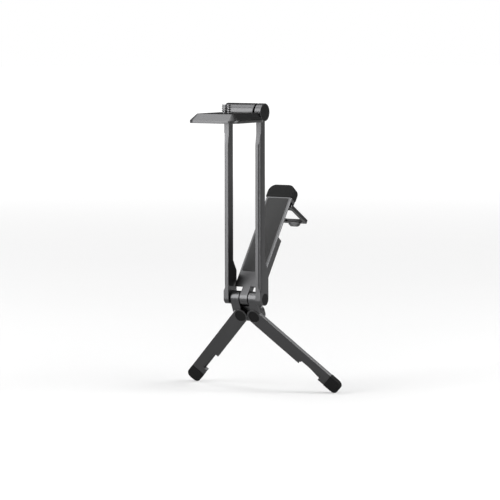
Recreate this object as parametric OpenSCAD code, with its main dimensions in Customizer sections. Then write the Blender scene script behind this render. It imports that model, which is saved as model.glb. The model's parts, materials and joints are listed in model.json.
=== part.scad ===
// Pocket folding camera stand: a U-shaped upright on a folding three-legged base.
// The hinge that joins upright, base and centre leg runs along X. -Y is the front.

/* [Upright] */
// Outside width across the two arms
frame_w = 28.7; // [26:0.1:34]
// Width of one arm, seen from the front
arm_w = 3.7; // [3:0.1:5]
// Depth of one arm, front to back
arm_t = 6.3; // [5:0.1:8]
// Height from the base hinge to the tilt axis
axis_gap = 124.4; // [100:0.1:150]
// Radius of the tilt barrel
barrel_r = 5.95; // [4.5:0.05:6.5]
// Length of the right arm's head along the barrel
right_head_w = 4.4; // [4:0.1:7]

/* [Camera plate] */
// Width of the plate's top face
plate_top_w = 28.2; // [24:0.1:34]
// Length of the plate's top face, front to back
plate_top_l = 29.2; // [24:0.1:34]
// How far the bevel widens the plate on each side
plate_flare = 4.7; // [3:0.1:6]
// Whole thickness of the plate
plate_h = 6.1; // [5:0.1:8]
// Distance of the camera screw in front of the tilt axis
plate_reach = 25; // [24:0.5:30]
// Height of the screw above the plate
screw_stub = 5.8; // [4:0.1:7]
// Radius of the 1/4 inch camera thread
screw_r = 3.175; // [3.17:0.005:3.18]

/* [Base hub] */
// Width of the hub across its knuckles
hub_w = 20.6; // [19:0.1:20.8]
// Radius of the knuckles
knuckle_r = 4.7; // [3.6:0.1:5]
// Backward lean of the side legs' plane
leg_tilt = 24; // [15:1:35]
// Distance between the two leg pivots
pivot_gap = 10.6; // [10.4:0.1:12]
// Distance from the hinge down to the leg pivots
pivot_drop = 11.4; // [11:0.1:14]

/* [Side legs] */
// Width of a side leg
leg_w = 10.3; // [8:0.1:10.3]
// Thickness of a side leg
leg_t = 2.5; // [2:0.1:3]
// Length from pivot to the end of the foot
leg_l = 74.7; // [60:0.1:90]
// Length of the rubber foot
foot_l = 10.1; // [6:0.1:12]
// Angle of each leg from the middle when it is open
leg_splay = 45; // [30:1:45]

/* [Centre leg] */
// Backward lean of the centre leg
beam_lean = 35.8; // [20:0.1:50]
// Width of the centre leg
beam_w = 20.1; // [18:0.1:20.8]
// Length from the hinge to the tip
beam_l = 87.1; // [84:0.1:95]
// Thickness of the centre leg's block
beam_t = 5.9; // [5:0.1:6.5]

/* [Prop frame] */
// Width of the prop frame
prop_w = 19.3; // [18:0.1:19.8]
// Length of the prop frame from its pivot
prop_l = 24.9; // [18:0.1:26]
// Angle of the prop frame below horizontal
prop_fall = 30.3; // [20:0.5:40]

/* [Hidden] */

$fn = 48;
eps = 0.01;
run_gap = 0.05;

// upright
arm_x = frame_w / 2;
arm_in = arm_x - arm_w;
relief = 1.2;
relief_z = [14, 22];
heel_y = 4.3;
heel_z = [18, 25];
edge_x = 1.7;
edge_y = 3;
edge_start = 4.8;
edge_fade = 3.6;
toe_r = 3.6;
low_cap_r = 3.85;
low_cap_t = 0.6;
hinge_r = 1.6;
axle_r = 2;
head_cap_r = 5.3;
head_cap_t = 0.7;
nut_r = 3.4;
nut_l = 1.8;

// tilt barrel and plate
barrel_x = [-arm_in + 0.15, arm_x - right_head_w - 1.5];
bush_r = 3;
bush_l = 5;
bevel_h = plate_h - 1.7;
pad_inset = 1.6;
pad_t = 0.5;
pad_proud = 0.1;
shank_r = 3;
head_pocket_r = 8;
head_pocket_h = 2.9;
screw_head_r = 7.6;
screw_head_h = 2.2;
clip_r = 4.6;

// hub, measured down from the hinge (drop) and forward from its plane (front)
knuckle_in = 3.7;
tongue_w = 5.9;
strap_t = 2.3;
strap_drop = 8.7;
bracket_front = 2.1;
bracket_back = 0.4;
bracket_top = 5.2;
hub_drop = pivot_drop + 5;
back_depth = 2.9;
back_top = 5.6;
pivot_r = 1.9;
pivot_head_r = 3.3;
hub_screw_drop = 14.6;
leg_gap = 0.25;

// side legs
leg_front = 4.9;
leg_back = leg_front - leg_t;
leg_shelf = 1.1;
leg_cap_r = 4.1;
notch = [43.5, 59.2];
notch_deep = 3.4;
notch_ledge = 2.1;
foot_skin = 0.25;
foot_r = 3.9;
tenon_l = 4;

// centre leg, measured up from the hinge (u) and forward of it (v)
beam_v = 4.5;
beam_back = beam_v - beam_t;
tongue_bush_r = 2.4;
shoulder_u = 6.6;
block_u = [12, 46.3];
plate_back_v = 3.2;
head_u = 73.1;
ear_u = 74.5;
cap_u = 77.3;
lug_w = 14.2;
pad_u = [18.3, 76.5];
pad_w = 16.6;
foot_over = 0.3;
foot_corner = 5.4;
prop_v = 0;
bar_r = 1.15;
bar_w = 2.4;
brace_z = [2.8, 4.5];
prop_pin_r = 0.8;
tab_w = 8.6;
tab_l = 2.6;

// how far the lowest foot corner lies below the hinge, and the Y middle of the whole stand
foot_half = leg_w / 2 + run_gap;
foot_reach = pivot_drop + (leg_l - foot_r + foot_half - foot_r) * cos(leg_splay) + foot_r;
hinge_z = foot_reach * cos(leg_tilt) + (leg_front + foot_skin) * sin(leg_tilt);
plate_front = plate_reach + plate_top_l / 2 + plate_flare;
prop_back_y = head_u * sin(beam_lean) - prop_v * cos(beam_lean)
  + prop_l * cos(prop_fall) + bar_r * sin(prop_fall);
hinge_y = (plate_front - prop_back_y) / 2;

// ---- frames of reference ----
module at_hinge() { translate([0, hinge_y, hinge_z]) children(); }
module at_tilt() { translate([0, hinge_y, hinge_z + axis_gap]) children(); }
// the side legs' plane: -Y is its front, -Z runs down the legs
module leg_plane() { at_hinge() rotate([leg_tilt, 0, 0]) children(); }
// the centre leg: -Y is its padded front, +Z runs to its tip
module beam_plane() { at_hinge() rotate([-beam_lean, 0, 0]) children(); }
module leg_pivot(side) {
  leg_plane() translate([side * pivot_gap / 2, 0, -pivot_drop]) children();
}
module leg_line(side) {
  leg_pivot(side) mirror([side < 0 ? 1 : 0, 0, 0]) rotate([0, -leg_splay, 0]) children();
}
module prop_pivot() { beam_plane() translate([0, -prop_v, head_u]) children(); }
// prop frame: +Z runs from its pivot to its free bar
module prop_plane() {
  prop_pivot() rotate([beam_lean - 90 - prop_fall, 0, 0]) children();
}

// ---- helpers ----
module rod_x(r, x0, x1) { translate([x0, 0, 0]) rotate([0, 90, 0]) cylinder(r = r, h = x1 - x0); }
// a rod along Y from front f0 to front f1, both measured towards -Y
module rod_front(r, f0, f1) { translate([0, -f0, 0]) rotate([90, 0, 0]) cylinder(r = r, h = f1 - f0); }
module tube_x(r, bore, x0, x1) {
  difference() {
    rod_x(r, x0, x1);
    rod_x(bore, x0 - 1, x1 + 1);
  }
}
module box_between(a, b) { translate(a) cube(b - a); }
function arc(cx, cy, rx, ry, a0, a1, n = 8) =
  [for (i = [0 : n]) [cx + rx * cos(a0 + (a1 - a0) * i / n), cy + ry * sin(a0 + (a1 - a0) * i / n)]];
// rectangle w by l, with corner radii r0 at its low end and r1 at its high end
module round_rect(w, z0, z1, r0, r1) {
  polygon(concat(
    arc(w / 2 - r0, z0 + r0, r0, r0, -90, 0), arc(w / 2 - r1, z1 - r1, r1, r1, 0, 90),
    arc(-w / 2 + r1, z1 - r1, r1, r1, 90, 180), arc(-w / 2 + r0, z0 + r0, r0, r0, 180, 270)));
}
// an XZ outline given thickness from front f0 to front f1
module slab(f0, f1) { translate([0, -f0, 0]) rotate([90, 0, 0]) linear_extrude(f1 - f0) children(); }

// ---- base hub ----
module knuckle_pair() {
  for (s = [-1, 1]) {
    x0 = s > 0 ? knuckle_in : -hub_w / 2;
    rod_x(knuckle_r, x0, x0 + hub_w / 2 - knuckle_in);
    box_between([x0, -knuckle_r, -strap_drop], [x0 + hub_w / 2 - knuckle_in, -knuckle_r + strap_t, 0]);
  }
}

// room in front of the bracket for a side leg at every spread
module leg_room(side) {
  room = leg_w / 2 + leg_gap;
  translate([side * pivot_gap / 2, 0, -pivot_drop]) mirror([side < 0 ? 1 : 0, 0, 0]) {
    rod_front(room, bracket_front, 9);
    rotate([0, -leg_splay, 0]) box_between([-room, -9, -20], [room, -bracket_front, 0]);
  }
}

module hub_bracket() {
  color("dimgray") leg_plane() difference() {
    union() {
      knuckle_pair();
      slab(bracket_back, bracket_front) round_rect(hub_w, -hub_drop, -bracket_top, 4, 2.5);
    }
    for (s = [-1, 1]) leg_room(s);
    rod_x(hinge_r + 0.02, -hub_w, hub_w);
    for (s = [-1, 1]) translate([s * pivot_gap / 2, 0, -pivot_drop]) rod_front(pivot_r + 0.02, -9, 9);
    translate([0, 0, -hub_screw_drop]) rod_front(1.02, -9, 9);
  }
}

module hub_back_plate() {
  color("dimgray") leg_plane() difference() {
    slab(bracket_back - back_depth, bracket_back - eps) round_rect(hub_w, -hub_drop, -back_top, 4, 4);
    for (s = [-1, 1]) translate([s * pivot_gap / 2, 0, -pivot_drop]) rod_front(pivot_r + 0.02, -9, 9);
    translate([0, 0, -hub_screw_drop]) rod_front(1.02, -9, 9);
  }
}

module hub_screws() {
  color("black") leg_plane() translate([0, 0, -hub_screw_drop]) {
    rod_front(1, bracket_back - back_depth - eps, bracket_front - 0.2);
    difference() {
      rod_front(2, bracket_back - back_depth - 1, bracket_back - back_depth - eps);
      rod_front(0.8, bracket_back - back_depth - 2, bracket_back - back_depth - 0.4);
    }
  }
}

module main_hinge_pin() {
  color("silver") at_hinge() rod_x(hinge_r, -arm_x + low_cap_t + 0.1, arm_x - low_cap_t - 0.1);
}

module hinge_washers() {
  color("black") leg_plane() for (s = [-1, 1]) mirror([s < 0 ? 1 : 0, 0, 0]) {
    tube_x(3, hinge_r + 0.02, hub_w / 2 + eps, arm_in - run_gap);
    tube_x(3, hinge_r + 0.02, tongue_w / 2 + run_gap, knuckle_in - eps);
  }
}

module leg_pivot_pin(side) {
  color("silver") leg_pivot(side) {
    rod_front(pivot_r, bracket_back - back_depth - 0.2, leg_back + leg_shelf + run_gap);
    rod_front(pivot_head_r, leg_back + leg_shelf + run_gap - eps, leg_back + leg_shelf + 0.5);
    rod_front(2.8, bracket_back - back_depth - 0.8, bracket_back - back_depth - eps);
  }
}

module leg_washers() {
  color("black") for (s = [-1, 1]) leg_pivot(s) difference() {
    rod_front(4, bracket_front + eps, leg_back - run_gap);
    rod_front(pivot_r + 0.02, 0, 9);
  }
}

// ---- upright ----
// side outline of an arm: Y across, Z up
module arm_side() {
  front = -arm_t;
  polygon(concat(
    [[0, axis_gap], [0, heel_z[1]], [heel_y, heel_z[0]]],
    arc(0, 0, heel_y, heel_y, 0, -90),
    arc(front + toe_r, -heel_y + toe_r + 0.3, toe_r, toe_r, -90, -180),
    [[front, axis_gap - relief_z[1]], [front + relief, axis_gap - relief_z[0]],
     [front + relief, axis_gap]]));
}

// what the rounded outer front edge takes away from an arm
module edge_cut() {
  c = [arm_x - edge_x, -arm_t + edge_y];
  difference() {
    translate([0, 0, edge_start]) linear_extrude(axis_gap - relief_z[0] - edge_start)
      polygon(concat([[arm_x + 1, -arm_t - 1], [arm_x + 1, c[1]]],
        arc(c[0], c[1], edge_x, edge_y, 0, -90), [[c[0], -arm_t - 1]]));
    translate([arm_x, -arm_t - 2, edge_start]) rotate([0, atan(edge_fade / edge_x), 0])
      box_between([-20, 0, -20], [20, edge_y + 3, 0]);
  }
}

module arm(head_w) {
  difference() {
    union() {
      difference() {
        translate([arm_in, 0, 0]) rotate([90, 0, 90]) linear_extrude(arm_w) arm_side();
        edge_cut();
      }
      translate([0, 0, axis_gap]) rod_x(barrel_r, arm_x - head_w, arm_x);
    }
    rod_x(hinge_r + run_gap, arm_in - 1, arm_x + 1);
    rod_x(low_cap_r, arm_x - low_cap_t, arm_x + 1);
    translate([0, 0, axis_gap]) {
      rod_x(axle_r + 0.02, arm_x - head_w - 1, arm_x + 1);
      rod_x(nut_r + 0.05, arm_x - head_cap_t - nut_l, arm_x + 1);
      rod_x(head_cap_r, arm_x - head_cap_t, arm_x + 1);
    }
  }
}

module arm_left() { color("gray") at_hinge() mirror([1, 0, 0]) arm(arm_w); }
module arm_right() { color("gray") at_hinge() arm(right_head_w); }

module barrel_axle() {
  color("silver") at_tilt() {
    rod_x(axle_r, -arm_x + head_cap_t + nut_l - eps, arm_x - head_cap_t - 0.2);
    rod_x(nut_r, -arm_x + head_cap_t + 0.1, -arm_x + head_cap_t + nut_l);
  }
}

module axle_nut() {
  color("silver") at_tilt() difference() {
    rod_x(nut_r, arm_x - head_cap_t - nut_l + eps, arm_x - head_cap_t - 0.1);
    rod_x(axle_r + 0.01, 0, arm_x);
  }
}

module tilt_washer() {
  color("black") at_tilt() tube_x(4.3, axle_r + 0.02, barrel_x[1] + run_gap, arm_x - right_head_w - eps);
}

module upper_end_caps() {
  color("black") at_tilt() for (s = [-1, 1]) mirror([s < 0 ? 1 : 0, 0, 0])
    rod_x(head_cap_r - 0.02, arm_x - head_cap_t + 0.02, arm_x);
}

module lower_end_caps() {
  color("black") at_hinge() for (s = [-1, 1]) mirror([s < 0 ? 1 : 0, 0, 0])
    rod_x(low_cap_r - 0.02, arm_x - low_cap_t + 0.02, arm_x);
}

// ---- camera plate, in the tilt axis's frame ----
module plate_outline(w, l, r) {
  translate([0, -plate_reach]) round_rect(w, -l / 2, l / 2, r, r);
}

module plate_body() {
  hull() {
    translate([0, 0, -eps]) linear_extrude(eps) plate_outline(plate_top_w, plate_top_l, 1.6);
    translate([0, 0, -plate_h]) linear_extrude(plate_h - bevel_h)
      plate_outline(plate_top_w + 2 * plate_flare, plate_top_l + 2 * plate_flare, 6);
  }
}

module mount_plate() {
  color("dimgray") at_tilt() difference() {
    union() {
      plate_body();
      rod_x(barrel_r, barrel_x[0], barrel_x[1]);
      box_between([barrel_x[0], -13, -plate_h], [barrel_x[1], -2.5, -0.8]);
    }
    translate([0, 0, -pad_t]) linear_extrude(1)
      plate_outline(plate_top_w - 2 * pad_inset, plate_top_l - 2 * pad_inset, 1.2);
    rod_x(bush_r + 0.01, -arm_x, arm_x);
    translate([0, -plate_reach, -plate_h - 1]) {
      cylinder(r = shank_r + run_gap, h = 9);
      cylinder(r = head_pocket_r, h = head_pocket_h + 1);
    }
  }
}

module plate_grip_pad() {
  color("#262626") at_tilt() difference() {
    translate([0, 0, -pad_t + eps]) linear_extrude(pad_t + pad_proud - eps)
      plate_outline(plate_top_w - 2 * pad_inset - 0.1, plate_top_l - 2 * pad_inset - 0.1, 1.2);
    translate([0, -plate_reach, -2]) cylinder(r = screw_r + 0.4, h = 4);
  }
}

module tilt_bushes() {
  color("khaki") at_tilt() {
    tube_x(bush_r, axle_r + run_gap, barrel_x[0], barrel_x[0] + bush_l);
    tube_x(bush_r, axle_r + run_gap, barrel_x[1] - bush_l, barrel_x[1]);
  }
}

module camera_screw() {
  head_z = -plate_h + head_pocket_h - 0.1;
  color("silver") at_tilt() translate([0, -plate_reach, 0]) difference() {
    union() {
      translate([0, 0, head_z - eps]) cylinder(r = shank_r, h = 0.2 - head_z + eps);
      translate([0, 0, 0.2]) cylinder(r = screw_r, h = screw_stub - 0.8);
      translate([0, 0, screw_stub - 0.6]) cylinder(r1 = screw_r, r2 = screw_r - 0.6, h = 0.6);
      translate([0, 0, head_z - screw_head_h]) cylinder(r = screw_head_r, h = screw_head_h);
    }
    translate([-20, -0.8, head_z - screw_head_h - 1]) cube([40, 1.6, 2.2]);
  }
}

module screw_clip() {
  clip_z = -plate_h + head_pocket_h;
  color("silver") at_tilt() translate([0, -plate_reach, clip_z - 0.08]) difference() {
    cylinder(r = clip_r, h = 0.06);
    translate([0, 0, -1]) cylinder(r = shank_r + 0.02, h = 3);
  }
}

// ---- centre leg ----
module beam_solid() {
  half = beam_w / 2;
  box_between([-half, -beam_v, block_u[0]], [half, -beam_back, block_u[1]]);
  box_between([-half, -beam_v, shoulder_u], [half, -plate_back_v, cap_u]);
  box_between([-lug_w / 2, -plate_back_v - eps, head_u - 2], [lug_w / 2, -beam_back, cap_u]);
  box_between([-half, -plate_back_v - eps, ear_u], [half, -beam_back, cap_u]);
  box_between([-half + 2, -3.2, cap_u - eps], [half - 2, -0.2, beam_l - 3]);
  rod_x(knuckle_r, -tongue_w / 2, tongue_w / 2);
  box_between([-tongue_w / 2, -knuckle_r, 0], [tongue_w / 2, -0.2, shoulder_u + 1]);
  box_between([-tongue_w / 2, -beam_v + eps, shoulder_u], [tongue_w / 2, -0.2, block_u[0] + eps]);
}

module border_cut() {
  for (s = [-1, 1]) translate([s * beam_w / 2, -beam_v, 0]) rotate([0, 0, 45])
    translate([-0.55, -0.55, 0]) cube([1.1, 1.1, cap_u + 1]);
}

module centre_leg_beam() {
  color("dimgray") beam_plane() difference() {
    beam_solid();
    intersection() {
      border_cut();
      box_between([-20, -10, shoulder_u - 1], [20, 10, cap_u]);
    }
    slab(beam_v - pad_t, beam_v + 1) round_rect(pad_w, pad_u[0], pad_u[1], 1, 1);
    box_between([-tab_w / 2 - 0.4, -beam_v, head_u - prop_l - 0.3],
      [tab_w / 2 + 0.4, 0, head_u - prop_l + bar_w + 0.8]);
    rod_x(tongue_bush_r, -10, 10);
    translate([0, -prop_v, head_u]) rod_x(prop_pin_r + run_gap, -10, 10);
  }
}
module centre_leg_pad() {
  color("#303030") beam_plane()
    slab(beam_v - pad_t + eps, beam_v + 0.1) round_rect(pad_w - 0.1, pad_u[0] + 0.05, pad_u[1] - 0.05, 1, 1);
}

module centre_leg_foot() {
  w = beam_w + 2 * foot_over;
  color("#202020") beam_plane() difference() {
    slab(beam_back - foot_over, beam_v + foot_over) round_rect(w, cap_u + eps, beam_l, 0.4, foot_corner);
    box_between([-beam_w / 2 + 1.98, -3.22, cap_u - 1], [beam_w / 2 - 1.98, -0.18, beam_l - 2.98]);
  }
}

module tongue_bush() {
  color("khaki") beam_plane() tube_x(tongue_bush_r - 0.01, hinge_r + run_gap, -tongue_w / 2, tongue_w / 2);
}

// ---- prop frame ----
module prop_pin() {
  color("silver") prop_pivot() rod_x(prop_pin_r, -prop_w / 2 + 0.2, prop_w / 2 - 0.2);
}

module prop_frame() {
  inner_w = prop_w - 2 * bar_w;
  color("dimgray") prop_plane() difference() {
    union() {
      rod_x(bar_r, -prop_w / 2, -prop_w / 2 + bar_w);
      rod_x(bar_r, prop_w / 2 - bar_w, prop_w / 2);
      slab(-bar_r, bar_r) difference() {
        round_rect(prop_w, 0, prop_l, 0.01, 1.6);
        round_rect(inner_w, -1, brace_z[0], 0.01, 0.5);
        round_rect(inner_w, brace_z[1], prop_l - bar_w, 1.5, 1);
      }
    }
    rod_x(prop_pin_r + 0.02, -prop_w, prop_w);
  }
}

module prop_tab() {
  color("gray") prop_plane() translate([0, 0, prop_l - bar_w + 0.1]) linear_extrude(bar_w - 0.2)
    round_rect(tab_w, bar_r + eps, bar_r + tab_l, 0.3, 2.2);
}

// ---- side legs, local -Z runs to the foot and +X is the outer edge ----
module leg_bar() {
  half = leg_w / 2;
  difference() {
    union() {
      rod_front(half, leg_back, leg_front);
      box_between([-half, -leg_front, -leg_l + foot_l], [half, -leg_back, 0]);
      box_between([-half + 1.5, -leg_front + 0.6, -leg_l + foot_l - tenon_l],
        [half - 1.5, -leg_back - 0.6, -leg_l + foot_l + eps]);
    }
    box_between([-half - 1, -leg_front - 1, -notch[1]],
      [-half + notch_deep, -leg_front + leg_t / 2, -notch[0]]);
    box_between([-half - 1, -leg_front - 1, -notch[1] - 0.3],
      [-half + notch_ledge, -leg_back + 1, -notch[0] + 0.8]);
    rod_front(pivot_r + run_gap, 0, 9);
    rod_front(leg_cap_r, leg_back + leg_shelf, 9);
  }
}

module leg_foot() {
  half = leg_w / 2;
  difference() {
    slab(leg_back - foot_skin, leg_front + foot_skin)
      round_rect(2 * foot_half, -leg_l, -leg_l + foot_l - eps, foot_r, 0.2);
    box_between([-half + 1.48, -leg_front + 0.58, -leg_l + foot_l - tenon_l - 0.02],
      [half - 1.48, -leg_back - 0.58, -leg_l + foot_l + 1]);
  }
}

module leg_cap() { rod_front(leg_cap_r - 0.02, leg_front - 0.75, leg_front - 0.2); }

module left_leg_bar() { color("#4a4a4a") leg_line(-1) leg_bar(); }
module left_leg_foot() { color("#202020") leg_line(-1) leg_foot(); }
module left_leg_cap() { color("#202020") leg_line(-1) leg_cap(); }
module right_leg_bar() { color("#4a4a4a") leg_line(1) leg_bar(); }
module right_leg_foot() { color("#202020") leg_line(1) leg_foot(); }
module right_leg_cap() { color("#202020") leg_line(1) leg_cap(); }

hub_bracket();
hub_back_plate();
hub_screws();
main_hinge_pin();
hinge_washers();
leg_pivot_pin(-1);  // leg_pivot_left
leg_pivot_pin(1);  // leg_pivot_right
leg_washers();
arm_left();
arm_right();
barrel_axle();
axle_nut();
tilt_washer();
upper_end_caps();
lower_end_caps();
mount_plate();
plate_grip_pad();
tilt_bushes();
camera_screw();
screw_clip();
centre_leg_beam();
centre_leg_pad();
centre_leg_foot();
tongue_bush();
prop_pin();
prop_frame();
prop_tab();
left_leg_bar();
left_leg_foot();
left_leg_cap();
right_leg_bar();
right_leg_foot();
right_leg_cap();
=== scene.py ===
import json
import math

import bmesh
import bpy
from bpy.props import FloatProperty, FloatVectorProperty, IntProperty, PointerProperty
from mathutils import Matrix, Vector


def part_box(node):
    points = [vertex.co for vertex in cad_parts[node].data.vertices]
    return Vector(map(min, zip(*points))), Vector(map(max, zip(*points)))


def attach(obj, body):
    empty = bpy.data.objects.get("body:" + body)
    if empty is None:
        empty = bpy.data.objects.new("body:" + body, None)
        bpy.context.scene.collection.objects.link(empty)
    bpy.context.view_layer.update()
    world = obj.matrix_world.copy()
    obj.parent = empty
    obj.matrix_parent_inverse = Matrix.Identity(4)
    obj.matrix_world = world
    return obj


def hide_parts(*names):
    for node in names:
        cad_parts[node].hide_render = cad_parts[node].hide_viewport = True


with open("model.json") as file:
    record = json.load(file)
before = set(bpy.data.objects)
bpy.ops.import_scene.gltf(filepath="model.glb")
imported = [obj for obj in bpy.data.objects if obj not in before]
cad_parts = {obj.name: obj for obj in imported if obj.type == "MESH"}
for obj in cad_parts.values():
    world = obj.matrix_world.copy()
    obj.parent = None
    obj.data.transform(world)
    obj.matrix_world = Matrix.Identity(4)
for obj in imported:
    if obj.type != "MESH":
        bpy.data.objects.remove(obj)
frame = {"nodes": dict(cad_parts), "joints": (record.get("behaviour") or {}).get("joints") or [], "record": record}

bl_info = {
    "name": "Folding camera stand",
    "version": (1, 0, 0),
    "blender": (4, 5, 0),
    "location": "View3D > Sidebar > Stand",
    "description": "Finishes a pocket folding camera stand around its engineering frame",
    "category": "Object",
}

MM = 0.001
# Points closer than this are one, faces within this angle are one, and edges past this angle are sharp.
WELD = 0.002 * MM
FLAT = math.radians(0.6)
CREASE = math.radians(28.0)
# The screw: rows of points in a pitch, how fast its thread deepens at the start (in depths per pitch),
# how fast its tip narrows, and points around each ridge of the knurling.
ROWS_PER_PITCH = 16
FADE_RATE = 3.0
TIP_SLOPE = 0.9
STEPS_PER_KNURL = 4.0
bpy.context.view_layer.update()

BODY_OF = {node: body for body, nodes in frame["record"]["behaviour"]["bodies"].items() for node in nodes}
JOINTS = {joint["name"]: joint for joint in frame["joints"]}
HINGE = Vector(JOINTS["frame_tilt"]["pos_m"])
SCREW_AXIS = Vector(JOINTS["screw_turn"]["pos_m"])


# ---------------------------------------------------------------- shader maths
class Wire:
    """A node socket, or a number, that ordinary Python expressions can work on."""

    def __init__(self, tree, socket):
        self.tree = tree
        self.socket = socket

    def _math(self, operation, *values, clamp=False):
        node = self.tree.nodes.new("ShaderNodeMath")
        node.operation = operation
        node.use_clamp = clamp
        for slot, value in zip(node.inputs, values):
            if isinstance(value, Wire):
                self.tree.links.new(value.socket, slot)
            else:
                slot.default_value = value
        return Wire(self.tree, node.outputs[0])

    def __add__(self, other):
        return self._math("ADD", self, other)

    def __radd__(self, other):
        return self._math("ADD", other, self)

    def __sub__(self, other):
        return self._math("SUBTRACT", self, other)

    def __rsub__(self, other):
        return self._math("SUBTRACT", other, self)

    def __mul__(self, other):
        return self._math("MULTIPLY", self, other)

    def __rmul__(self, other):
        return self._math("MULTIPLY", other, self)

    def clamp(self):
        return self._math("ADD", self, 0.0, clamp=True)


class Finish:
    """One material and the few calls that its recipe is written in."""

    def __init__(self, name):
        self.material = bpy.data.materials.new(name)
        self.material.use_nodes = True
        self.tree = self.material.node_tree
        self.tree.nodes.clear()
        self.shader = self.tree.nodes.new("ShaderNodeBsdfPrincipled")
        output = self.tree.nodes.new("ShaderNodeOutputMaterial")
        self.tree.links.new(self.shader.outputs[0], output.inputs["Surface"])
        self.place = self.add("ShaderNodeTexCoord", out="Object")

    def add(self, kind, settings=None, out=0, **sockets):
        """Adds a node: its settings first, then a value or a Wire for each named socket."""
        node = self.tree.nodes.new(kind)
        for key, value in (settings or {}).items():
            if key == "stops":
                self._stops(node.color_ramp, value)
            else:
                setattr(node, key, value)
        for key, value in sockets.items():
            self.feed(node.inputs[key.replace("_", " ")], value)
        return Wire(self.tree, node.outputs[out])

    def _stops(self, ramp, stops):
        """Sets a ramp's grey stops, each a position and a level."""
        while len(ramp.elements) > 1:
            ramp.elements.remove(ramp.elements[-1])
        for index, (position, level) in enumerate(stops):
            element = ramp.elements[0] if index == 0 else ramp.elements.new(position)
            element.position = position
            element.color = (level, level, level, 1.0)

    def feed(self, slot, value):
        """Links a Wire to a socket, or sets the socket's own value."""
        if isinstance(value, Wire):
            self.tree.links.new(value.socket, slot)
        else:
            slot.default_value = value

    def set(self, **sockets):
        """Feeds the principled shader's sockets."""
        for key, value in sockets.items():
            self.feed(self.shader.inputs[key.replace("_", " ")], value)

    def noise(self, scale, detail=2.0, roughness=0.5, place=None):
        return self.add("ShaderNodeTexNoise", Vector=place or self.place, Scale=scale,
                        Detail=detail, Roughness=roughness)

    def stretched(self, x, y, z):
        return self.add("ShaderNodeMapping", Vector=self.place, Scale=(x, y, z))

    def ramp(self, value, stops):
        return self.add("ShaderNodeValToRGB", {"stops": stops}, Fac=value)

    def mix(self, factor, first, second):
        node = self.tree.nodes.new("ShaderNodeMix")
        node.data_type = "RGBA"
        for index, value in ((0, factor), (6, first), (7, second)):
            self.feed(node.inputs[index], value)
        return Wire(self.tree, node.outputs[2])

    def worn_edges(self):
        """1 along outer edges, 0 elsewhere."""
        edge = self.add("ShaderNodeNewGeometry", out="Pointiness")
        return self.ramp(edge, [(0.0, 0.0), (0.5, 0.0), (0.6, 1.0)])

    def bump(self, height, distance, strength):
        self.set(Normal=self.add("ShaderNodeBump", Height=height, Distance=distance, Strength=strength))


def shade(color, gain):
    """A colour made brighter or darker, and opaque."""
    return (color[0] * gain, color[1] * gain, color[2] * gain, 1.0)


def anodised(name, color):
    """Bead-blasted aluminium, dyed graphite: fine pits, faint tone drift and a few long paler scuffs."""
    finish = Finish(name)
    pits = finish.noise(5200.0, 2.0, 0.6)
    drift = finish.noise(45.0, 3.0, 0.5)
    along = finish.stretched(900.0, 900.0, 120.0)
    scuffs = finish.ramp(finish.noise(1.0, 5.0, 0.7, along), [(0.62, 0.0), (0.72, 1.0)])
    base = finish.mix(drift, shade(color, 0.94), shade(color, 1.06))
    base = finish.mix((pits - 0.35).clamp() * 0.15, base, shade(color, 1.3))
    finish.set(Base_Color=finish.mix(scuffs * 0.12, base, shade(color, 1.6)),
               Roughness=0.31 + drift * 0.04 + pits * 0.03, Metallic=1.0)
    finish.bump(pits, 0.01 * MM, 0.12)
    return finish.material


def moulded_rubber(name, color, grain, rough):
    """Moulded rubber: a fine stipple, dull, with dusty high spots."""
    finish = Finish(name)
    stipple = finish.noise(grain, 3.0, 0.65)
    dust = finish.ramp(finish.noise(120.0, 4.0, 0.6), [(0.45, 0.0), (0.8, 1.0)])
    finish.set(Base_Color=finish.mix(dust * 0.25, shade(color, 0.95), shade(color, 1.6)),
               Roughness=rough + stipple * 0.16, Specular_IOR_Level=0.12)
    finish.bump(stipple, 0.04 * MM, 0.5)
    return finish.material


def silicone(name, color):
    """Soft silicone sheet: silky, with a very fine leathery grain and a slow tone change."""
    finish = Finish(name)
    grain = finish.add("ShaderNodeTexVoronoi", {"feature": "DISTANCE_TO_EDGE"}, Vector=finish.place,
                       Scale=1500.0)
    cloud = finish.noise(30.0, 3.0, 0.5)
    finish.set(Base_Color=finish.mix(cloud, shade(color, 0.9), shade(color, 1.12)),
               Roughness=0.5 + cloud * 0.12, Specular_IOR_Level=0.22)
    finish.bump(finish.ramp(grain, [(0.0, 0.0), (0.25, 1.0)]), 0.03 * MM, 0.5)
    return finish.material


def satin_plastic(name, color):
    """Moulded cap: satin black with a fine spark-eroded texture."""
    finish = Finish(name)
    spark = finish.noise(3800.0, 2.0, 0.55)
    finish.set(Base_Color=finish.mix(finish.noise(200.0), shade(color, 0.92), shade(color, 1.15)),
               Roughness=0.42 + spark * 0.14, Specular_IOR_Level=0.1)
    finish.bump(spark, 0.015 * MM, 0.4)
    return finish.material


def turned_steel(name, color, axis):
    """Turned steel: fine rings around the turning axis and brighter rubbed crests."""
    finish = Finish(name)
    scale = [60.0 + 9000.0 * part for part in axis]
    rings = finish.noise(1.0, 3.0, 0.6, finish.stretched(*scale))
    stain = finish.noise(350.0, 3.0, 0.6)
    base = finish.mix(stain, shade(color, 0.82), shade(color, 1.08))
    finish.set(Base_Color=finish.mix(finish.worn_edges() * 0.5, base, shade(color, 1.4)),
               Roughness=0.22 + rings * 0.14, Metallic=1.0)
    finish.bump(rings, 0.01 * MM, 0.4)
    return finish.material


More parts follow.
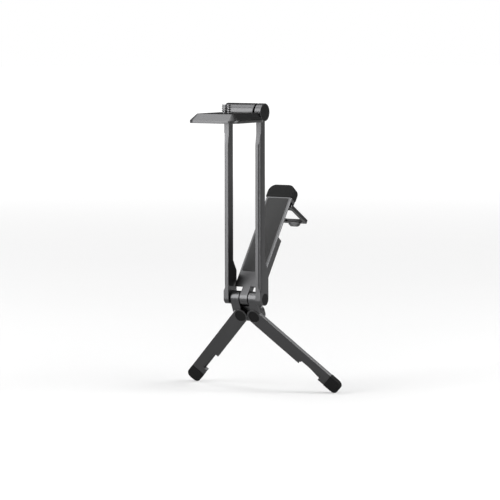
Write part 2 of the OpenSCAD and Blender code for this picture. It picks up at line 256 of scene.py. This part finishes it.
def sintered_bronze(name, color):
    """Oil-filled sintered bronze: pores and dark oil."""
    finish = Finish(name)
    pores = finish.ramp(finish.noise(2400.0, 3.0, 0.7), [(0.35, 0.0), (0.6, 1.0)])
    finish.set(Base_Color=finish.mix(pores, shade(color, 0.45), shade(color, 1.05)),
               Roughness=0.62 - pores * 0.2, Metallic=1.0)
    finish.bump(pores, 0.03 * MM, 0.5)
    return finish.material


# ---------------------------------------------------------------- mesh helpers
def sizes():
    return bpy.context.scene.stand_sizes


def colours():
    return bpy.context.scene.stand_colours


def material(key):
    """The finish of that name, made when it is first asked for."""
    known = bpy.data.materials.get(key)
    if known:
        return known
    tint = colours()
    recipes = {
        "graphite_anodised": lambda n: anodised(n, tint.metal),
        "graphite_anodised_dark": lambda n: anodised(n, tint.metal_dark),
        "black_anodised": lambda n: anodised(n, tint.metal_black),
        "black_rubber": lambda n: moulded_rubber(n, tint.rubber, 2600.0, 0.62),
        "grey_silicone": lambda n: silicone(n, tint.silicone),
        "plate_rubber": lambda n: moulded_rubber(n, tint.plate_pad, 1800.0, 0.5),
        "black_cap_plastic": lambda n: satin_plastic(n, tint.cap),
        "black_washer_plastic": lambda n: satin_plastic(n, tint.washer),
        "turned_steel_upright": lambda n: turned_steel(n, tint.steel, (0.0, 0.0, 1.0)),
        "turned_steel_cross": lambda n: turned_steel(n, tint.steel, (1.0, 0.0, 0.0)),
        "sintered_bronze": lambda n: sintered_bronze(n, tint.bronze),
    }
    return recipes[key](key)


def add_piece(name, mesh, node, finish):
    """Puts a finished mesh in the scene in place of its frame node, on the same body."""
    piece = bpy.data.objects.new(name, mesh)
    bpy.context.scene.collection.objects.link(piece)
    mesh.materials.clear()
    mesh.materials.append(material(finish))
    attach(piece, BODY_OF[node])
    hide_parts(node)
    return piece


def apply_modifiers(piece):
    """Makes a piece's modifiers part of its mesh."""
    graph = bpy.context.evaluated_depsgraph_get()
    mesh = bpy.data.meshes.new_from_object(piece.evaluated_get(graph))
    piece.modifiers.clear()
    old = piece.data
    piece.data = mesh
    bpy.data.meshes.remove(old)


def eased(node, finish, edge=None, segments=2, angle=CREASE):
    """A copy of a frame node with its sharp edges eased, as a tumbled or moulded part has."""
    radius = sizes().edge if edge is None else edge
    source = frame["nodes"][node].data
    shape = bmesh.new()
    shape.from_mesh(source)
    bmesh.ops.remove_doubles(shape, verts=shape.verts, dist=WELD)
    bmesh.ops.dissolve_limit(shape, angle_limit=FLAT, verts=shape.verts, edges=shape.edges)
    mesh = bpy.data.meshes.new(f"{node}_mesh")
    shape.to_mesh(mesh)
    shape.free()
    piece = add_piece(f"{node}_finished", mesh, node, finish)
    bevel = piece.modifiers.new("ease", "BEVEL")
    bevel.width = radius
    bevel.segments = segments
    bevel.limit_method = "ANGLE"
    bevel.angle_limit = angle
    for face in mesh.polygons:
        face.use_smooth = True
    weigh = piece.modifiers.new("flat_faces", "WEIGHTED_NORMAL")
    weigh.mode = "FACE_AREA"
    weigh.weight = 100
    apply_modifiers(piece)
    return piece


def turned(shape, rows, steps, axis):
    """A closed skin about the upright line through axis. Each row is a height and a radius at each turn."""
    rings = []
    for height, radius in rows:
        turns = [2.0 * math.pi * i / steps for i in range(steps)]
        rings.append([shape.verts.new((axis.x + radius(turn) * math.cos(turn),
                                       axis.y + radius(turn) * math.sin(turn), height)) for turn in turns])
    for low, high in zip(rings, rings[1:]):
        for i in range(steps):
            j = (i + 1) % steps
            shape.faces.new((low[i], low[j], high[j], high[i]))
    shape.faces.new(list(reversed(rings[0])))
    shape.faces.new(rings[-1])


def subtract(piece, low, high):
    """Cuts a box out of a piece."""
    shape = bmesh.new()
    bmesh.ops.create_cube(shape, size=1.0, matrix=Matrix.Translation((low + high) / 2.0)
                          @ Matrix.Diagonal((*(high - low), 1.0)))
    mesh = bpy.data.meshes.new("cutter")
    shape.to_mesh(mesh)
    shape.free()
    cutter = bpy.data.objects.new("cutter", mesh)
    bpy.context.scene.collection.objects.link(cutter)
    cut = piece.modifiers.new("cut", "BOOLEAN")
    cut.operation = "DIFFERENCE"
    cut.solver = "EXACT"
    cut.object = cutter
    apply_modifiers(piece)
    bpy.data.objects.remove(cutter)
    bpy.data.meshes.remove(mesh)


# ---------------------------------------------------------------- properties
class StandSizes(bpy.types.PropertyGroup):
    edge: FloatProperty(name="Eased edge", description="Radius of the metal parts' eased edges",
                        default=0.22 * MM, min=0.02 * MM, max=1.0 * MM, unit="LENGTH", precision=5)
    soft_edge: FloatProperty(name="Rubber edge", description="Radius of the rubber parts' rounded edges",
                             default=0.7 * MM, min=0.1 * MM, max=1.0 * MM, unit="LENGTH", precision=5)
    thread_pitch: FloatProperty(name="Thread pitch", description="Pitch of the camera screw's thread",
                                default=1.27 * MM, min=0.5 * MM, max=2.0 * MM, unit="LENGTH", precision=5)
    thread_depth: FloatProperty(name="Thread depth", description="Depth of the camera screw's thread",
                                default=0.75 * MM, min=0.3 * MM, max=1.0 * MM, unit="LENGTH", precision=5)
    thread_radius: FloatProperty(name="Thread radius", description="Outer radius of the screw's thread",
                                 default=3.175 * MM, min=2.0 * MM, max=6.0 * MM, unit="LENGTH", precision=5)
    thread_steps: IntProperty(name="Thread steps", description="Points around one turn of the screw",
                              default=144, min=48, max=288)
    shank: FloatProperty(name="Shank radius", description="Radius of the screw inside the plate",
                         default=3.0 * MM, min=1.0 * MM, max=6.0 * MM, unit="LENGTH", precision=5)
    tip: FloatProperty(name="Screw tip", description="Height of the chamfer at the screw's tip",
                       default=0.7 * MM, min=0.1 * MM, max=2.0 * MM, unit="LENGTH", precision=5)
    knurl: FloatProperty(name="Knurl depth", description="Depth of the knurling round the screw's head",
                         default=0.25 * MM, min=0.0, max=1.0 * MM, unit="LENGTH", precision=5)
    slot_width: FloatProperty(name="Slot width", description="Width of the coin slot in the screw's head",
                              default=1.6 * MM, min=0.5 * MM, max=3.0 * MM, unit="LENGTH", precision=5)
    slot_depth: FloatProperty(name="Slot depth", description="Depth of the coin slot in the screw's head",
                              default=1.2 * MM, min=0.2 * MM, max=2.0 * MM, unit="LENGTH", precision=5)


class StandColours(bpy.types.PropertyGroup):
    metal: FloatVectorProperty(name="Metal", description="Graphite anodising on the parts",
                               subtype="COLOR", default=(0.06, 0.06, 0.0615), min=0.0, max=1.0)
    metal_dark: FloatVectorProperty(name="Dark metal", description="Graphite anodising on the side legs",
                                    subtype="COLOR", default=(0.054, 0.054, 0.055), min=0.0, max=1.0)
    metal_black: FloatVectorProperty(name="Black metal", description="Black anodising on the prop frame",
                                     subtype="COLOR", default=(0.02, 0.02, 0.0205), min=0.0, max=1.0)
    rubber: FloatVectorProperty(name="Rubber", description="Feet", subtype="COLOR",
                                default=(0.004, 0.004, 0.0041), min=0.0, max=1.0)
    silicone: FloatVectorProperty(name="Silicone", description="Centre leg's pad", subtype="COLOR",
                                  default=(0.011, 0.011, 0.0112), min=0.0, max=1.0)
    plate_pad: FloatVectorProperty(name="Plate pad", description="Camera plate's grip face", subtype="COLOR",
                                   default=(0.008, 0.008, 0.0082), min=0.0, max=1.0)
    cap: FloatVectorProperty(name="Caps", description="End caps and pivot caps", subtype="COLOR",
                             default=(0.003, 0.003, 0.0031), min=0.0, max=1.0)
    washer: FloatVectorProperty(name="Washers", description="Thrust washers", subtype="COLOR",
                                default=(0.004, 0.004, 0.004), min=0.0, max=1.0)
    steel: FloatVectorProperty(name="Steel", description="Screws and pins", subtype="COLOR",
                               default=(0.24, 0.24, 0.245), min=0.0, max=1.0)
    bronze: FloatVectorProperty(name="Bronze", description="Bushes", subtype="COLOR",
                                default=(0.48, 0.33, 0.16), min=0.0, max=1.0)


class StandStage(bpy.types.PropertyGroup):
    azimuth: FloatProperty(name="Camera azimuth", description="Turn of the camera from front to right",
                           default=math.radians(31.72), subtype="ANGLE")
    fall: FloatProperty(name="Camera tilt", description="How far the camera looks down",
                        default=math.radians(5.21), subtype="ANGLE")
    distance: FloatProperty(name="Camera distance", description="From the camera to the hinge's plane",
                            default=1.683, unit="LENGTH")
    focal: FloatProperty(name="Focal length", description="Lens, in millimetres", default=181.2,
                         min=20.0, max=400.0)
    aim_right: FloatProperty(name="Aim right", description="Middle of the picture, right of the hinge",
                             default=2.2 * MM, unit="LENGTH")
    aim_up: FloatProperty(name="Aim up", description="Middle of the picture, above the hinge",
                          default=32.2 * MM, unit="LENGTH")
    roll: FloatProperty(name="Camera roll", description="Turn of the picture about the line of sight",
                        default=math.radians(-0.1), subtype="ANGLE")
    key: FloatProperty(name="Key box", description="Power of the front left softbox", default=25.0,
                       unit="POWER")
    top: FloatProperty(name="Top box", description="Power of the softbox high on the right", default=17.0,
                       unit="POWER")
    crown: FloatProperty(name="Crown box", description="Power of the softbox high on the left", default=6.0,
                         unit="POWER")
    side: FloatProperty(name="Side box", description="Power of the narrow softbox on the right", default=8.0,
                        unit="POWER")
    sky: FloatProperty(name="Sky", description="Strength of the even light from above", default=1.3, min=0.0)
    room: FloatProperty(name="Room", description="Brightness of the room all around", default=0.08, min=0.0)
    floor_glow: FloatProperty(name="Floor glow", description="Light given off by the floor far away",
                              default=0.95, min=0.0)
    near_glow: FloatProperty(name="Near glow", description="Share of that light where the stand is",
                             default=0.3, min=0.0, max=1.0)
    glow_reach: FloatProperty(name="Glow reach", description="Distance at which the floor's light is full",
                              default=2.5, unit="LENGTH")


# ---------------------------------------------------------------- operators
class StandOperator:
    bl_options = {"REGISTER", "UNDO"}


class STAND_OT_upright(StandOperator, bpy.types.Operator):
    """Both arms of the upright with eased edges"""
    bl_idname = "stand.upright"
    bl_label = "Upright arms"

    def execute(self, context):
        for node in ("arm_left", "arm_right"):
            eased(node, "graphite_anodised")
        return {"FINISHED"}


class STAND_OT_hub(StandOperator, bpy.types.Operator):
    """The hub bracket and the plate behind it"""
    bl_idname = "stand.hub"
    bl_label = "Base hub"

    def execute(self, context):
        for node in ("hub_bracket", "hub_back_plate"):
            eased(node, "graphite_anodised")
        return {"FINISHED"}


class STAND_OT_side_legs(StandOperator, bpy.types.Operator):
    """Side leg bars, their feet and pivot caps"""
    bl_idname = "stand.side_legs"
    bl_label = "Side legs"

    def execute(self, context):
        for side in ("left", "right"):
            eased(f"{side}_leg_bar", "graphite_anodised_dark")
            eased(f"{side}_leg_foot", "black_rubber", sizes().soft_edge, 3)
            eased(f"{side}_leg_cap", "black_cap_plastic", 0.12 * MM)
        return {"FINISHED"}


class STAND_OT_centre_leg(StandOperator, bpy.types.Operator):
    """Centre leg beam, its silicone pad and its foot"""
    bl_idname = "stand.centre_leg"
    bl_label = "Centre leg"

    def execute(self, context):
        eased("centre_leg_beam", "graphite_anodised")
        eased("centre_leg_pad", "grey_silicone", 0.08 * MM)
        eased("centre_leg_foot", "black_rubber", sizes().soft_edge, 3)
        return {"FINISHED"}


class STAND_OT_prop(StandOperator, bpy.types.Operator):
    """The folding prop frame and its tab"""
    bl_idname = "stand.prop"
    bl_label = "Prop frame"

    def execute(self, context):
        eased("prop_frame", "black_anodised")
        eased("prop_tab", "graphite_anodised")
        return {"FINISHED"}


class STAND_OT_plate(StandOperator, bpy.types.Operator):
    """The tilting camera plate and its grip face"""
    bl_idname = "stand.plate"
    bl_label = "Camera plate"

    def execute(self, context):
        eased("mount_plate", "graphite_anodised", 0.5 * MM, 3, math.radians(24.0))
        eased("plate_grip_pad", "plate_rubber", 0.05 * MM)
        return {"FINISHED"}


class STAND_OT_caps(StandOperator, bpy.types.Operator):
    """Black caps at the ends of the hinge and the tilt barrel"""
    bl_idname = "stand.caps"
    bl_label = "End caps"

    def execute(self, context):
        for node in ("upper_end_caps", "lower_end_caps"):
            eased(node, "black_cap_plastic", 0.15 * MM)
        return {"FINISHED"}


class STAND_OT_camera_screw(StandOperator, bpy.types.Operator):
    """The camera screw with a true helical thread, a knurled rim and a coin slot"""
    bl_idname = "stand.camera_screw"
    bl_label = "Camera screw"

    def execute(self, context):
        size = sizes()
        low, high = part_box("camera_screw")
        head_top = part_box("screw_clip")[0].z
        shape = bmesh.new()
        turned(shape, self.head_rows(size, low, high, head_top) + self.thread_rows(size, high, head_top),
               size.thread_steps, SCREW_AXIS)
        mesh = bpy.data.meshes.new("camera_screw_mesh")
        shape.to_mesh(mesh)
        shape.free()
        piece = add_piece("camera_screw_threaded", mesh, "camera_screw", "turned_steel_upright")
        reach = Vector((high.x - low.x, size.slot_width / 2.0, 0.0))
        subtract(piece, Vector((SCREW_AXIS.x, SCREW_AXIS.y, low.z - MM)) - reach,
                 Vector((SCREW_AXIS.x, SCREW_AXIS.y, low.z + size.slot_depth)) + reach)
        for face in piece.data.polygons:
            face.use_smooth = True
        piece.data.set_sharp_from_angle(angle=CREASE)
        return {"FINISHED"}

    def head_rows(self, size, low, high, head_top):
        rim = (high.x - low.x) / 2.0
        ease = 2.0 * size.edge

        def knurled(turn):
            return rim - size.knurl * (0.5 - 0.5 * math.cos(size.thread_steps / STEPS_PER_KNURL * turn))

        def plain(turn):
            return rim - ease

        return [(low.z, plain), (low.z + ease, knurled), (head_top - ease, knurled), (head_top, plain)]

    def thread_rows(self, size, high, head_top):
        """Shank, then a 60 degree thread that fades in at the shank and out at the chamfered tip."""
        crest = size.thread_radius
        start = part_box("plate_grip_pad")[1].z
        rows = [(head_top, lambda turn: size.shank), (start, lambda turn: size.shank)]
        step = size.thread_pitch / ROWS_PER_PITCH
        count = int((high.z - start) / step)

        def at(height):
            """The thread's radius at each turn, at one height."""
            tip = crest - max(0.0, height - (high.z - size.tip)) * TIP_SLOPE

            def radius(turn):
                phase = (height / size.thread_pitch - turn / (2.0 * math.pi)) % 1.0
                # 0 on the flat crest, then a straight flank down to 1 in the root
                groove = min(1.0, max(0.0, (0.5 - abs(phase - 0.5)) * 3.0 - 0.2))
                fade = min(1.0, FADE_RATE * (height - start) / size.thread_pitch)
                return min(tip, crest - size.thread_depth * groove * fade)
            return radius

        return rows + [(start + step * (i + 1), at(start + step * (i + 1))) for i in range(count)]


class STAND_OT_fasteners(StandOperator, bpy.types.Operator):
    """Finishes for the pins, screws, washers and bushes inside the hinges"""
    bl_idname = "stand.fasteners"
    bl_label = "Pins and washers"

    def execute(self, context):
        finishes = {
            "turned_steel_cross": ("main_hinge_pin", "barrel_axle", "axle_nut", "prop_pin"),
            "turned_steel_upright": ("leg_pivot_left", "leg_pivot_right", "hub_screws", "screw_clip"),
            "black_washer_plastic": ("hinge_washers", "leg_washers", "tilt_washer"),
            "sintered_bronze": ("tilt_bushes", "tongue_bush"),
        }
        for finish, nodes in finishes.items():
            for node in nodes:
                mesh = frame["nodes"][node].data
                mesh.materials.clear()
                mesh.materials.append(material(finish))
        return {"FINISHED"}


def soft_light(name, size, power, place, target):
    """A rectangular softbox that faces its target."""
    light = bpy.data.lights.new(name, "AREA")
    light.shape = "RECTANGLE"
    light.size, light.size_y = size
    light.energy = power
    lamp = bpy.data.objects.new(name, light)
    lamp.location = place
    lamp.rotation_euler = (target - place).to_track_quat("-Z", "Y").to_euler()
    bpy.context.scene.collection.objects.link(lamp)


def around(azimuth, rise, reach):
    """The point at that azimuth (0 in front, 90 at the right), height angle and distance from the stand."""
    turn, lift = math.radians(azimuth), math.radians(rise)
    level = math.cos(lift)
    return Vector((math.sin(turn) * level, -math.cos(turn) * level, math.sin(lift))) * reach


class STAND_OT_stage(StandOperator, bpy.types.Operator):
    """Pale floor, soft studio lights and the camera"""
    bl_idname = "stand.stage"
    bl_label = "Stage"

    def execute(self, context):
        scene = context.scene
        self.make_camera(scene)
        self.make_floor(scene)
        self.make_lights(scene)
        scene.view_settings.view_transform = "Standard"
        return {"FINISHED"}

    def make_camera(self, scene):
        stage = scene.stand_stage
        turn, fall = stage.azimuth, stage.fall
        ahead = Vector((-math.sin(turn) * math.cos(fall), math.cos(turn) * math.cos(fall), -math.sin(fall)))
        right = Vector((math.cos(turn), math.sin(turn), 0.0))
        up = right.cross(ahead)
        camera = bpy.data.objects.new("camera", bpy.data.cameras.new("camera"))
        camera.data.lens = stage.focal
        camera.data.sensor_width = 36.0
        camera.data.clip_end = 50.0
        facing = Matrix((right, up, -ahead)).transposed().to_4x4()
        place = HINGE + right * stage.aim_right + up * stage.aim_up - ahead * stage.distance
        camera.matrix_world = Matrix.Translation(place) @ facing @ Matrix.Rotation(stage.roll, 4, "Z")
        scene.collection.objects.link(camera)
        scene.camera = camera

    def make_floor(self, scene):
        shape = bmesh.new()
        bmesh.ops.create_circle(shape, cap_ends=True, radius=12.0, segments=96)
        mesh = bpy.data.meshes.new("floor")
        shape.to_mesh(mesh)
        shape.free()
        floor = bpy.data.objects.new("floor", mesh)
        scene.collection.objects.link(floor)
        finish = Finish("pale_floor")
        stage = scene.stand_stage
        nearness = finish.add("ShaderNodeTexGradient", {"gradient_type": "SPHERICAL"},
                              Vector=finish.stretched(*[1.0 / stage.glow_reach] * 3))
        white = (1.0, 1.0, 1.0)
        finish.set(Base_Color=finish.mix(finish.noise(3.0), shade(white, 0.34), shade(white, 0.36)),
                   Roughness=0.8, Specular_IOR_Level=0.2, Emission_Strength=stage.floor_glow,
                   Emission_Color=finish.mix(nearness, shade(white, 1.0), shade(white, stage.near_glow)))
        mesh.materials.append(finish.material)

    def make_lights(self, scene):
        stage = scene.stand_stage
        middle = HINGE + Vector((0.0, 0.0, 0.04))
        soft_light("key_box", (0.7, 1.3), stage.key, middle + around(-38.0, 20.0, 1.3), middle)
        soft_light("crown_box", (0.7, 0.7), stage.crown, middle + around(-85.0, 58.0, 1.2), middle)
        soft_light("top_box", (0.7, 0.6), stage.top, middle + around(104.0, 42.0, 1.2), middle)
        soft_light("side_box", (0.4, 0.9), stage.side, middle + around(76.0, 12.0, 1.3), middle)
        sky = bpy.data.lights.new("sky", "SUN")
        sky.energy = stage.sky
        sky.angle = math.radians(60.0)
        lamp = bpy.data.objects.new("sky", sky)
        lamp.rotation_euler = (math.radians(12.0), math.radians(-10.0), 0.0)
        scene.collection.objects.link(lamp)
        self.make_world(scene)

    def make_world(self, scene):
        """Plain white behind the stand, and a dimmer room around it to light it."""
        world = bpy.data.worlds.new("studio")
        world.use_nodes = True
        tree = world.node_tree
        tree.nodes.clear()
        room = tree.nodes.new("ShaderNodeBackground")
        room.inputs["Strength"].default_value = scene.stand_stage.room
        backdrop = tree.nodes.new("ShaderNodeBackground")
        for shader in (room, backdrop):
            shader.inputs["Color"].default_value = (1.0, 1.0, 1.0, 1.0)
        rays = tree.nodes.new("ShaderNodeLightPath")
        choice = tree.nodes.new("ShaderNodeMixShader")
        output = tree.nodes.new("ShaderNodeOutputWorld")
        tree.links.new(rays.outputs["Is Camera Ray"], choice.inputs[0])
        tree.links.new(room.outputs[0], choice.inputs[1])
        tree.links.new(backdrop.outputs[0], choice.inputs[2])
        tree.links.new(choice.outputs[0], output.inputs["Surface"])
        scene.world = world


class STAND_PT_panel(bpy.types.Panel):
    """Sidebar panel that lists the stand's pieces, sizes and colours"""
    bl_idname = "STAND_PT_panel"
    bl_label = "Folding camera stand"
    bl_space_type = "VIEW_3D"
    bl_region_type = "UI"
    bl_category = "Stand"

    def draw(self, context):
        for group in (context.scene.stand_sizes, context.scene.stand_colours, context.scene.stand_stage):
            box = self.layout.box()
            for key in group.__annotations__:
                box.prop(group, key)
        for operator in PIECES:
            self.layout.operator(operator.bl_idname)


PIECES = (STAND_OT_stage, STAND_OT_upright, STAND_OT_hub, STAND_OT_side_legs, STAND_OT_centre_leg,
          STAND_OT_prop, STAND_OT_plate, STAND_OT_caps, STAND_OT_camera_screw, STAND_OT_fasteners)
GROUPS = {"stand_sizes": StandSizes, "stand_colours": StandColours, "stand_stage": StandStage}


def register():
    for kind in (*GROUPS.values(), *PIECES, STAND_PT_panel):
        bpy.utils.register_class(kind)
    for name, kind in GROUPS.items():
        setattr(bpy.types.Scene, name, PointerProperty(type=kind))


def unregister():
    for name in GROUPS:
        delattr(bpy.types.Scene, name)
    for kind in reversed((*GROUPS.values(), *PIECES, STAND_PT_panel)):
        bpy.utils.unregister_class(kind)


def main():
    register()
    for operator in PIECES:
        group, name = operator.bl_idname.split(".")
        getattr(getattr(bpy.ops, group), name)()


if __name__ == "__main__":
    main()
